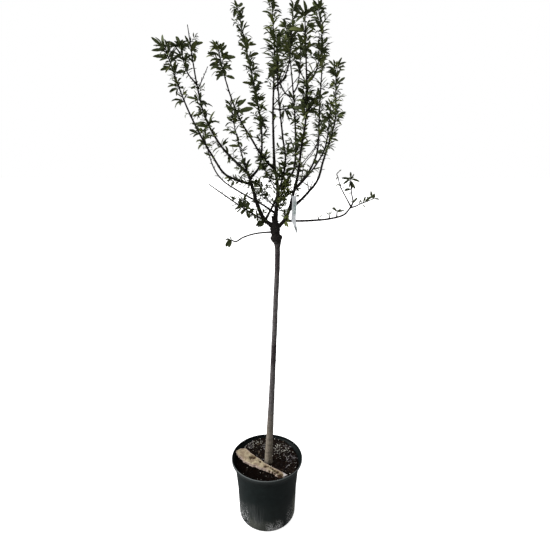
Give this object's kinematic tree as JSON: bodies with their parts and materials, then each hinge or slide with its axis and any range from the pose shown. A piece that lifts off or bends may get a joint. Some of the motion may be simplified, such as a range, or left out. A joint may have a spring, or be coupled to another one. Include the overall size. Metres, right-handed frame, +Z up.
{
  "type": "potted almond tree",
  "caption": "Small grafted fruit tree in a round nursery pot: slim bare trunk with a graft knob, long upright shoots with narrow leaves, a blank hanging tag and a strip of wood across the pot.",
  "frame": {"origin": "centre of the pot's flat underside, on the ground", "axes": "+Z up along the pot's axis; +X to the right and +Y away from the viewer who stands in front of the wood strip"},
  "size_m": [0.7735, 0.4967, 2.0778],
  "materials": {
    "pot": "satin",
    "soil": "rough",
    "wood_slab": "rough",
    "label": "satin",
    "trunk": "rough",
    "limb": "rough",
    "leaves": "satin"
  },
  "bodies": {
    "root": {"arm": "limb", "arm_inner_leaves": "leaves", "arm_outer_leaves": "leaves", "arm_sprig_1_leaves": "leaves", "arm_sprig_2_leaves": "leaves", "arm_sprig_3_leaves": "leaves", "arm_upper_leaves": "leaves", "centre_bough": "limb", "centre_front_bough": "limb", "centre_front_leaves": "leaves", "centre_leaves": "leaves", "centre_limb": "limb", "centre_right_bough": "limb", "centre_right_leaves": "leaves", "centre_spray_leaves": "leaves", "inner_twig_leaves": "leaves", "label": "label", "left_bare_bough": "limb", "left_bare_leaves": "leaves", "left_base_spray_leaves": "leaves", "left_inner_leaves": "leaves", "left_limb": "limb", "left_low_bough": "limb", "left_low_leaves": "leaves", "left_main_leaves": "leaves", "left_outer_bough": "limb", "left_outer_leaves": "leaves", "low_twig_leaves": "leaves", "mid_left_leaves": "leaves", "mid_left_tall_bough": "limb", "mid_left_tall_leaves": "leaves", "pot": "pot", "right_base_spray_leaves": "leaves", "right_inner_bough": "limb", "right_inner_leaves": "leaves", "right_limb": "limb", "right_outer_bough": "limb", "right_outer_leaves": "leaves", "right_second_bough": "limb", "right_second_leaves": "leaves", "right_tall_bough": "limb", "right_tall_leaves": "leaves", "soil": "soil", "trunk": "trunk", "whip_bough": "limb", "whip_leaves": "leaves", "wood_slab": "wood_slab"}
  },
  "joints": []
}
